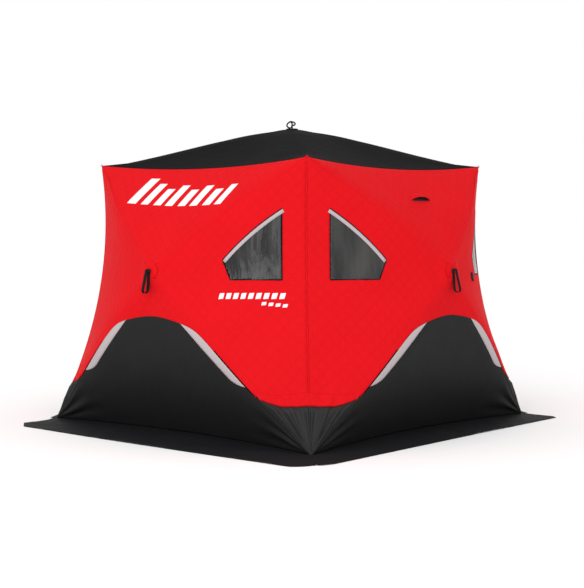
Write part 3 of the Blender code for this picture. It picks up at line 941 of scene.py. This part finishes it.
def makeVent():
    facet = facets["right", "top"]
    half = vent["width"] / 2

    def hoodPlace(s, t):
        across = half * 1.06 * (2 * s - 1)
        arch = math.sqrt(max(1 - (2 * s - 1) ** 2, 0))
        upper = vent["down"] + vent["height"] - (vent["height"] + vent["hoodUp"]) * arch
        lowerLine = vent["down"] + vent["height"] - (vent["height"] - 0.012) * arch * 0.55
        return facet.foot + across, upper + (lowerLine - upper) * t

    def hoodRise(a, b):
        s = min(max((a - facet.foot) / (half * 2.12) + 0.5, 0), 1)
        arch = math.sqrt(max(1 - (2 * s - 1) ** 2, 0))
        upper = vent["down"] + vent["height"] - (vent["height"] + vent["hoodUp"]) * arch
        share = min(max((b - upper) / 0.055, 0), 1)
        return 1.5 * mm + vent["hoodLift"] * arch * math.sin(share * math.pi / 2)

    hood = liftedObject(
        "vent_hood_cloth", flatGrid(40, 12, hoodPlace), facet, hoodRise, [quiltedPolyester, clothLiner],
        cover["thickness"],
    )
    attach(hood, "vent_hood")
    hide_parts("vent_hood")

    def netPlace(s, t):
        across = half * 0.99 * (2 * s - 1)
        arch = math.sqrt(max(1 - (2 * s - 1) ** 2, 0))
        base = vent["down"] + vent["height"]
        return facet.foot + across, base - vent["height"] * arch * (1 - t)

    net = liftedObject(
        "vent_net", flatGrid(30, 6, netPlace), facet, lambda a, b: 0.8 * mm, [ventNetting], 0.5 * mm
    )
    followFold(net)
    # The hood stands off the wall, so its cut is longer than its place there.
    flatAreas[hood.name] *= vent["cutShare"]
    return net


# Printed marks: plain slanted bars, and a webbing tab

marks = {
    ("front", "top"): [  # a bar's middle along the seam, its width, and its top and bottom below the roof edge
        (1.345, 0.085, 0.085, 0.310), (1.225, 0.070, 0.130, 0.312), (1.110, 0.070, 0.175, 0.315),
        (0.995, 0.070, 0.145, 0.318), (0.880, 0.070, 0.185, 0.320), (0.765, 0.070, 0.155, 0.322),
        (0.650, 0.070, 0.190, 0.324), (0.540, 0.060, 0.160, 0.325),
    ],
}
smallMark = {"place": ("front", "right"), "rows": ((1.008, 0.560, 0.115, 9, 0.036), (0.935, 0.280, 0.105, 4, 0.020))}
tab = {"place": ("right", "right"), "at": ((1.060, 0.625), (1.120, 0.615)), "width": 0.085}


def makeMark(facet, name, bars):
    # Each bar is four flat corners.
    shape = bmesh.new()
    for corners in bars:
        lowLeft, lowRight, highRight, highLeft = (Vector(p) for p in corners)
        made = bmesh.ops.create_grid(shape, x_segments=5, y_segments=8, size=0.5)["verts"]
        for point in made:
            x, y = point.co.x + 0.5, point.co.y + 0.5
            flat = lowLeft.lerp(lowRight, x).lerp(highLeft.lerp(highRight, x), y)
            point.co = (flat.x, flat.y, 0)
    for face in shape.faces:
        if face.normal.z < 0:
            face.normal_flip()
    mark = liftedObject(name, shape, facet, lambda a, b: 0.6 * mm + foldRise(facet, a, b), [whiteInk], 0.3 * mm)
    followFold(mark)
    return mark


def makeMarks(key):
    facet = facets[key]
    made = []
    if key in marks:
        bars = []
        for middle, width, top, bottom in marks[key]:
            low, high, slant = middle + width / 2, middle - width / 2, 0.16 * (bottom - top)
            bars.append(((low + slant, bottom), (high + slant, bottom), (high - slant, top), (low - slant, top)))
        made.append(makeMark(facet, f"{facet.name}_mark", bars))
    if key == smallMark["place"]:
        bars = []
        for up, start, end, count, height in smallMark["rows"]:
            pitch = (end - start) / count
            for i in range(count):
                left, right = start + pitch * (i + 0.12), start + pitch * (i + 0.78)
                top = up - 0.028 * (start - left) / (start - end)
                lean = 0.3 * height
                bars.append(((top - height, left + lean), (top - height, right + lean), (top, right), (top, left)))
        made.append(makeMark(facet, f"{facet.name}_small_mark", bars))
    if key == tab["place"]:
        made.append(ribbon("webbing_tab", facet, densePath(list(tab["at"]), 0.01), tab["width"], 3 * mm, webbingBlack))
    return made


# Cloth of the walls and the roof

grain = {"columns": 56, "rows": 40}


def makeFacetCloth(facet):
    isRoof = facet.panel.name == "roof"
    tip = 1 - cover["tipRadius"] / facet.reach
    isSide = facet.side in ("left", "right")
    margin = cover["flap"] if isSide else 0.0
    base = 0.0
    if not isRoof and facet.side == "bottom":
        base = 0.60 / facet.reach  # the rest is the black lower panel's

    def place(s, t):
        v = base + (tip - base) * t
        # Two extra columns on each side are the flaps under the neighbours.
        wide = facet.length * (1 - v)
        u = s
        if margin:
            steps = s * grain["columns"]
            if steps < 2:
                u = -(2 - steps) / 2 * margin / wide
            elif steps > grain["columns"] - 2:
                u = 1 + (steps - grain["columns"] + 2) / 2 * margin / wide
            else:
                u = (steps - 2) / (grain["columns"] - 4)
        return flatPlace(facet, u, v)

    shape = flatGrid(grain["columns"], grain["rows"], place)
    key = (facet.panel.name, facet.side)
    if key in windowPlaces:
        cutHole(shape, windowOutline(facet))
    if key == door["place"]:
        cutHole(shape, doorOutline())

    if not isRoof and isSide:
        # The rest of its corner is the black piece, and the hem covers the cut.
        corner = Vector((fromGround(facet, 0.0), 0.0, 0.0))
        covered = [
            f for f in shape.faces if any((v.co - corner).length < cornerReach(facet, v.co) - 1 * mm for v in f.verts)
        ]
        bmesh.ops.delete(shape, geom=covered, context="FACES")

    def rise(a, b):
        v = b / facet.reach
        wide = facet.length * max(1 - v, 0.02)
        u = (a - facet.foot * v) / wide
        over = max(-u, u - 1, 0) * wide
        down = over * 0.1 + 1.5 * mm * smoothStep(over, 0, 3 * mm)
        return foldRise(facet, a, b) - down

    face = roofPolyester if isRoof else quiltedPolyester
    cloth = liftedObject(f"{facet.name}_cloth", shape, facet, rise, [face, clothLiner], cover["thickness"])
    followFold(cloth)
    return cloth


def hubCap(panel):
    # The cloth over the hub's plate, which only the loop passes through. It stays with the hub.
    rim, plate, top = cover["tipRadius"] + 0.016, 0.040, 13 * mm
    shape = bmesh.new()
    bmesh.ops.create_circle(shape, cap_ends=True, cap_tris=True, segments=48, radius=rim)
    bmesh.ops.subdivide_edges(
        shape, edges=[e for e in shape.edges if not e.is_boundary], cuts=12, use_grid_fill=True
    )
    for point in shape.verts:
        radius = math.hypot(point.co.x, point.co.y)
        under = -0.153 * radius + hubLift(hubDomes["roof" if panel.name == "roof" else "wall"], radius) - 1.6 * mm
        share = smoothStep(radius, plate, cover["tipRadius"])
        point.co.z = top * (1 - share) + under * share
    faceUp(shape)
    layer = shape.loops.layers.uv.new("flat")
    for face in shape.faces:
        face.smooth = True
        for loop in face.loops:
            loop[layer].uv = loop.vert.co.xy
    turn = Vector((0, 0, 1)).rotation_difference(panel.normal).to_matrix().to_4x4()
    bmesh.ops.transform(shape, matrix=Matrix.Translation(panel.hub) @ turn, verts=shape.verts)
    face = roofPolyester if panel.name == "roof" else quiltedPolyester
    cap = finishedObject(f"{panel.name}_hub_cloth", shape, [face], 1 * mm)
    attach(cap, f"{panel.name}_hub")


seam = {"width": 0.010, "cornerWidth": 0.009}


def poleSeams(facet):
    # A felled seam where the black lower panel meets the corner pieces, along each pole.
    made = []
    for end, label in ((0, "start"), (1, "end")):
        inset = (seam["width"] / 2 - 3 * mm) * math.sqrt(2) * (1 - 2 * end)
        path = [flatPlace(facet, end, 0.02 + 0.275 * i / 40) + Vector((inset, 0)) for i in range(41)]
        name = f"{facet.name}_{label}_seam"
        made.append(ribbon(name, facet, path, seam["width"], lower["rise"] + 0.8 * mm, gatheredPolyester))
    return made


def cornerSeam(leftWall, rightWall, isLow):
    # The bound seam where two walls meet. leftWall is the one on its left, seen from outside.
    left, right = facets[leftWall, "right"], facets[rightWall, "left"]
    split = lower["cornerUp"] / left.length
    low, high = (0.02, split) if isLow else (split, 0.985)

    def crest(share):
        outwards = facetNormal(left, share * left.length, 0.01) + facetNormal(right, right.length * (1 - share), 0.01)
        return onCover(left, share * left.length, 0.0) + outwards.normalized() * (4 * mm if isLow else 2 * mm)

    def edge(share, j):
        facet, a = (right, right.length * (1 - share)) if j < 0 else (left, left.length * share)
        rise = lower["rise"] + 1 * mm if isLow else 1 * mm
        return onCover(facet, a, abs(j) * seam["cornerWidth"], 0) + facetNormal(facet, a, 0.01) * rise

    shape = bmesh.new()
    bmesh.ops.create_grid(shape, x_segments=60, y_segments=2, size=0.5)
    layer = shape.loops.layers.uv.new("flat")
    for face in shape.faces:
        face.smooth = True
        for loop in face.loops:
            loop[layer].uv = (loop.vert.co.x * 2, loop.vert.co.y * seam["cornerWidth"])
    for point in shape.verts:
        share, j = low + (high - low) * (point.co.x + 0.5), point.co.y
        point.co = crest(share) if abs(j) < 1e-6 else edge(share, j)
    bmesh.ops.recalc_face_normals(shape, faces=shape.faces)
    if sum(face.normal.dot(face.calc_center_median()) for face in shape.faces) < 0:
        bmesh.ops.reverse_faces(shape, faces=shape.faces)
    tag, material = ("low", gatheredPolyester) if isLow else ("high", quiltedPolyester)
    piece = finishedObject(f"{leftWall}_{rightWall}_{tag}_corner_seam", shape, [material], 1.2 * mm)
    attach(piece, "cover_frame")
    return piece


print("cloth tools ready")

for key, facet in facets.items():
    cloth = makeFacetCloth(facet)
    extras = makeMarks(key)
    if key in windowPlaces:
        extras += makeWindow(*key)
    if facet.panel.name != "roof" and facet.side in ("left", "right"):
        extras += makeCornerPiece(*key)
    if facet.panel.name != "roof" and facet.side == "bottom":
        extras += poleSeams(facet)
    if key == door["place"]:
        extras += makeDoor()
    if key == ("right", "top"):
        extras.append(makeVent())
    if facet.panel.name != "roof" and facet.side == "bottom":
        lowPanel = makeLowerPanel(facet.panel.name)
        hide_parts(f"{facet.name}_cover")
        # The ground strip is painted shadow along the wall's foot.
        extras += [cloth, *makeStrips(facet.panel.name), groundCreaseShadow(facet)]
    else:
        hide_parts(f"{facet.name}_cover")
for panel in panels.values():
    hubCap(panel)
for i, wallName in enumerate(wallNames):
    for isLow in (True, False):
        cornerSeam(wallName, wallNames[(i + 1) % 4], isLow)
print("cover sewn:", len(facets), "pieces")


# Skirt

skirt = {"width": 0.37, "underlap": 0.02, "wave": 11 * mm}
# Each outer edge, from its left end to its right: (along the wall past its middle, out from it).
skirtEdges = {
    "front": (
        (-1.190, 0.02), (-1.160, 0.12), (-1.165, 0.31), (-1.045, 0.405), (0.0, 0.408), (1.230, 0.366), (1.345, 0.358),
        (1.395, 0.30), (1.422, 0.228),
    ),
    "right": (
        (-1.422, 0.228), (-1.404, 0.258), (-1.320, 0.283), (0.0, 0.283), (1.170, 0.296), (1.215, 0.25), (1.205, 0.12),
        (1.194, 0.02),
    ),
    "back": ((-1.224, 0.03), (-0.714, 0.37), (1.234, 0.37), (1.399, 0.205)),
    "left": ((-1.399, 0.205), (-1.234, 0.37), (0.714, 0.37), (1.224, 0.03)),
}


def makeSkirt(wallName):
    facet = facets[wallName, "bottom"]
    middle = (facet.start + facet.end) / 2
    outwards = Vector((middle.x, middle.y, 0)).normalized()
    outer = densePath(list(skirtEdges[wallName]), 0.02)
    lengths = [0.0]
    for first, second in zip(outer, outer[1:]):
        lengths.append(lengths[-1] + (second - first).length)

    def outerAt(s):
        want = s * lengths[-1]
        i = next((k for k in range(1, len(lengths)) if lengths[k] >= want), len(lengths) - 1)
        share = (want - lengths[i - 1]) / max(lengths[i] - lengths[i - 1], 1e-9)
        return outer[i - 1].lerp(outer[i], share)

    def place(s, t):
        x = facet.length * (s - 0.5)
        under = skirt["underlap"] * smoothStep(min(s, 1 - s), 0, 0.1)
        inner = Vector((x, -4 * s * (1 - s) * cover["groundBow"] - under))
        return inner.lerp(outerAt(s), t)

    shape = flatGrid(170, 26, place)
    flatAreas[f"{wallName}_skirt"] = sum(face.calc_area() for face in shape.faces)
    layer = shape.loops.layers.uv.new("flat")
    for face in shape.faces:
        face.smooth = True
        for loop in face.loops:
            loop[layer].uv = loop.vert.co.xy
    for point in shape.verts:
        x, out = point.co.x, point.co.y
        s = min(max(x / facet.length + 0.5, 0), 1)
        inner = -4 * s * (1 - s) * cover["groundBow"]
        share = min(max((out - inner) / (skirt["width"] - inner), 0), 1)
        wave = noise.noise(Vector((x * 2.3, out * 3.5, middle.x * 3)))
        wave += 0.5 * noise.noise(Vector((x * 7 + out * 4, out * 5, middle.y)))
        wave += 0.35 * noise.noise(Vector((x * 19, out * 12, middle.y)))
        height = 2.5 * mm + skirt["wave"] * max(wave, -0.15) * smoothStep(share, 0.0, 0.3) + 2.5 * mm * (1 - share)
        point.co = middle + facet.along * x + outwards * out + Vector((0, 0, height))
    cloth = finishedObject(f"{wallName}_skirt", shape, [skirtPolyester, clothLiner], 1.5 * mm)
    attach(cloth, "cover_frame")
    return cloth


skirts = [makeSkirt(wallName) for wallName in wallNames]
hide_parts("skirt")
print("skirt laid")


# Pull loops

loops = {
    "wall": {"width": 0.025, "length": 0.122, "spread": 0.023, "grip": 0.011},
    "roof": {"width": 0.011, "length": 0.024, "spread": 0.020, "grip": 0.004},
}


def teardrop(shapeOf, steps):
    # A closed loop that hangs from the bail: points (across, along), from the bail round and back.
    small, large, length = shapeOf["grip"], shapeOf["spread"], shapeOf["length"]
    slope = math.asin((large - small) / length)
    found = []
    for i in range(steps):
        angle = slope + (math.pi - 2 * slope) * i / (steps - 1)
        found.append((small * math.cos(angle), small * math.sin(angle)))
    for i in range(steps):
        angle = math.pi - slope + (math.pi + 2 * slope) * i / (steps - 1)
        found.append((large * math.cos(angle), large * math.sin(angle) - length))
    return densePath(found, 0.008, closed=True)


def makeLoop(panelName):
    isRoof = panelName == "roof"
    shapeOf = loops["roof" if isRoof else "wall"]
    joint = joints["roof_loop_tilt" if isRoof else f"{panelName}_loop_swing"]
    bail = Vector(joint["pos_m"])
    across = Vector(joint["axis"]).normalized()
    hang = Vector((0, 0, 1 if isRoof else -1))
    outwards = across.cross(hang)
    if not isRoof and outwards.dot(panels[panelName].normal) < 0:
        outwards.negate()
    path = teardrop(shapeOf, 12)
    count = len(path)
    shape = bmesh.new()
    bmesh.ops.create_grid(shape, x_segments=count, y_segments=3, size=0.5)
    layer = shape.loops.layers.uv.new("flat")
    places = {v: (round((v.co.x + 0.5) * count), v.co.y) for v in shape.verts}
    for face in shape.faces:
        face.smooth = True
        for loop in face.loops:
            i, j = places[loop.vert]
            loop[layer].uv = (i * 0.008, j * shapeOf["width"])
    for point, (i, j) in places.items():
        side, along = path[i % count]
        lean = -0.17 * min(along, 0)
        point.co = bail + hang * -along + outwards * (side + lean) + across * j * shapeOf["width"]
    bmesh.ops.remove_doubles(shape, verts=shape.verts, dist=1e-6)
    bmesh.ops.recalc_face_normals(shape, faces=shape.faces)
    piece = finishedObject(f"{panelName}_loop_webbing", shape, [webbingBlack], 2 * mm)
    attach(piece, f"{panelName}_pull_loop")
    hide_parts(f"{panelName}_pull_loop")
    return piece


roofCord = {  # side and height from the bail, in mm
    "radius": 5.2 * mm,
    "path": (
        (-10, -9), (-27, -5), (-36, 6), (-34, 18), (-24, 29), (-10, 36), (10, 33), (22, 24), (18, 13), (5, 10),
    ),
    "leg": ((-8, 34), (0, 24), (0, 10), (-4, -2), (-8, -9)),
}


def smoothPath(points, steps=6):
    # Passes through the points without corners.
    found = []
    for i in range(len(points) - 1):
        before, start, end, after = (points[min(max(i + k, 0), len(points) - 1)] for k in (-1, 0, 1, 2))
        for j in range(steps):
            s = j / steps
            found.append(
                start + (end - before) * (s / 2)
                + (before * 2 - start * 5 + end * 4 - after) * (s * s / 2)
                + (start * 3 - before - end * 3 + after) * (s**3 / 2)
            )
    return found + [points[-1]]


def cordTube(name, points, radius, plane, material):
    # A round cord along points that lie in the plane with this normal.
    points = smoothPath(points)
    count = len(points) - 1
    shape = bmesh.new()
    bmesh.ops.create_grid(shape, x_segments=count, y_segments=12, size=0.5)
    for point in shape.verts:
        i, angle = round((point.co.x + 0.5) * count), (point.co.y + 0.5) * 2 * math.pi
        way = (points[min(i + 1, count)] - points[max(i - 1, 0)]).normalized()
        point.co = points[i] + (plane * math.cos(angle) + plane.cross(way) * math.sin(angle)) * radius
    for face in shape.faces:
        face.smooth = True
    bmesh.ops.remove_doubles(shape, verts=shape.verts, dist=1e-6)
    bmesh.ops.holes_fill(shape, edges=[e for e in shape.edges if e.is_boundary], sides=20)
    bmesh.ops.recalc_face_normals(shape, faces=shape.faces)
    return finishedObject(name, shape, [material])


def makeRoofCord():
    joint = joints["roof_loop_tilt"]
    bail, plane = Vector(joint["pos_m"]), Vector(joint["axis"]).normalized()
    across = Vector((0, 0, 1)).cross(plane)
    if across.y < 0:
        across.negate()
    for name in ("path", "leg"):
        points = [bail + across * x * mm + Vector((0, 0, z * mm)) for x, z in roofCord[name]]
        cord = cordTube(f"roof_cord_{name}", points, roofCord["radius"], plane, webbingBlack)
        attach(cord, "roof_pull_loop")
        if name == "path":
            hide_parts("roof_pull_loop")


for wallName in wallNames:
    makeLoop(wallName)
makeRoofCord()
print("loops hung")


# The frame's own nodes take their finishes.


def dress(node, material):
    mesh = frame["nodes"][node].data
    mesh.materials.clear()
    mesh.materials.append(material)


for node in frame["nodes"]:
    if node.endswith("_pole"):
        dress(node, pultrudedFibreglass)
    elif node.endswith("_hub"):
        dress(node, mouldedNylon)
    elif node == "zipper_slider":
        dress(node, castZinc)
print("frame dressed")
